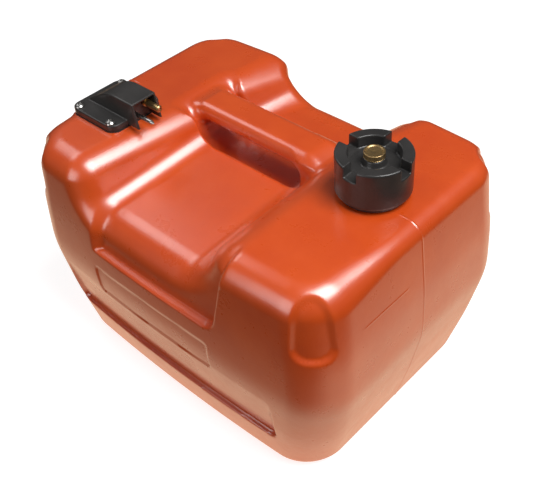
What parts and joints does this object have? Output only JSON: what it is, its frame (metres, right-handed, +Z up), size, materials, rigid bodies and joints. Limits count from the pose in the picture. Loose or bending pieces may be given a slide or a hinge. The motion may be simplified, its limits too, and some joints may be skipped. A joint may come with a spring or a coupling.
{
  "type": "portable outboard fuel tank",
  "caption": "Portable moulded fuel tank with a carrying handle over a trough, a vented screw cap and a plug-in fuel fitting under a cowl.",
  "frame": {"origin": "middle of the resting face", "axes": "+X along the tank towards the filler cap, -Y towards the front wall of the picture, +Z up"},
  "size_m": [0.369, 0.2698, 0.2683],
  "materials": {
    "tank_plastic": "moulded, glossy orange-red",
    "cap_plastic": "moulded, satin black",
    "cap_rubber": "black",
    "baffle_plastic": "natural, translucent white",
    "bush_brass": "turned",
    "vent_brass": "turned and knurled",
    "vent_rubber": "black",
    "clip_steel": "spring steel",
    "housing_plastic": "moulded, satin black",
    "gasket_rubber": "black sheet",
    "screw_steel": "plated",
    "insert_brass": "turned",
    "prong_brass": "turned, bright",
    "prong_rubber": "black",
    "plunger_brass": "turned",
    "spring_steel": "spring steel",
    "pin_steel": "turned, bright",
    "tube_plastic": "extruded",
    "collar_plastic": "natural",
    "pickup_rubber": "black",
    "cage_plastic": "natural",
    "mesh_steel": "fine woven screen"
  },
  "bodies": {
    "tank": {"tank_shell": "tank_plastic", "fitting_housing": "housing_plastic", "fitting_gasket": "gasket_rubber", "flange_screws": "screw_steel", "flange_inserts": "insert_brass", "fuel_prong": "prong_brass", "prong_seal": "prong_rubber", "check_spring": "spring_steel", "guide_pin": "pin_steel", "pickup_tube": "tube_plastic", "pickup_collar": "collar_plastic", "pickup_seal": "pickup_rubber", "strainer_cage": "cage_plastic", "strainer_mesh": "mesh_steel"},
    "splash_cup": {"cap_baffle": "baffle_plastic"},
    "cap_thread": {"cap_gasket": "cap_rubber"},
    "cap": {"cap_shell": "cap_plastic", "vent_bush": "bush_brass"},
    "vent_thread": {"vent_o_ring": "vent_rubber", "vent_clip": "clip_steel"},
    "vent": {"vent_screw": "vent_brass"},
    "plunger": {"check_plunger": "plunger_brass"}
  },
  "joints": [
    {"name": "cap_lift", "type": "slide", "parent": "tank", "child": "splash_cup", "axis": [0, 0, 1], "range_m": [0, 0.06]},
    {"name": "cap_rise", "type": "slide", "parent": "splash_cup", "child": "cap_thread", "axis": [0, 0, 1], "range_m": [0, 0.0081]},
    {"name": "cap_turn", "type": "hinge", "parent": "cap_thread", "child": "cap", "pos_m": [0.1205, 0.012, 0.228], "axis": [0, 0, 1], "range_deg": [0, 720]},
    {"name": "vent_rise", "type": "slide", "parent": "cap", "child": "vent_thread", "axis": [0, 0, 1], "range_m": [0, 0.003]},
    {"name": "vent_turn", "type": "hinge", "parent": "vent_thread", "child": "vent", "pos_m": [0.1205, 0.012, 0.228], "axis": [0, 0, 1], "range_deg": [0, 1075]},
    {"name": "check_push", "type": "slide", "parent": "tank", "child": "plunger", "axis": [-1, 0, 0], "range_m": [0, 0.003], "stiffness_N_per_m": 120, "springref_m": -0.002, "deforming": ["check_spring"]}
  ],
  "couplings": [
    {"joint": "cap_rise", "follows": "cap_turn", "m_per_rad": 0.00063662},
    {"joint": "vent_rise", "follows": "vent_turn", "m_per_rad": 0.00015915}
  ]
}
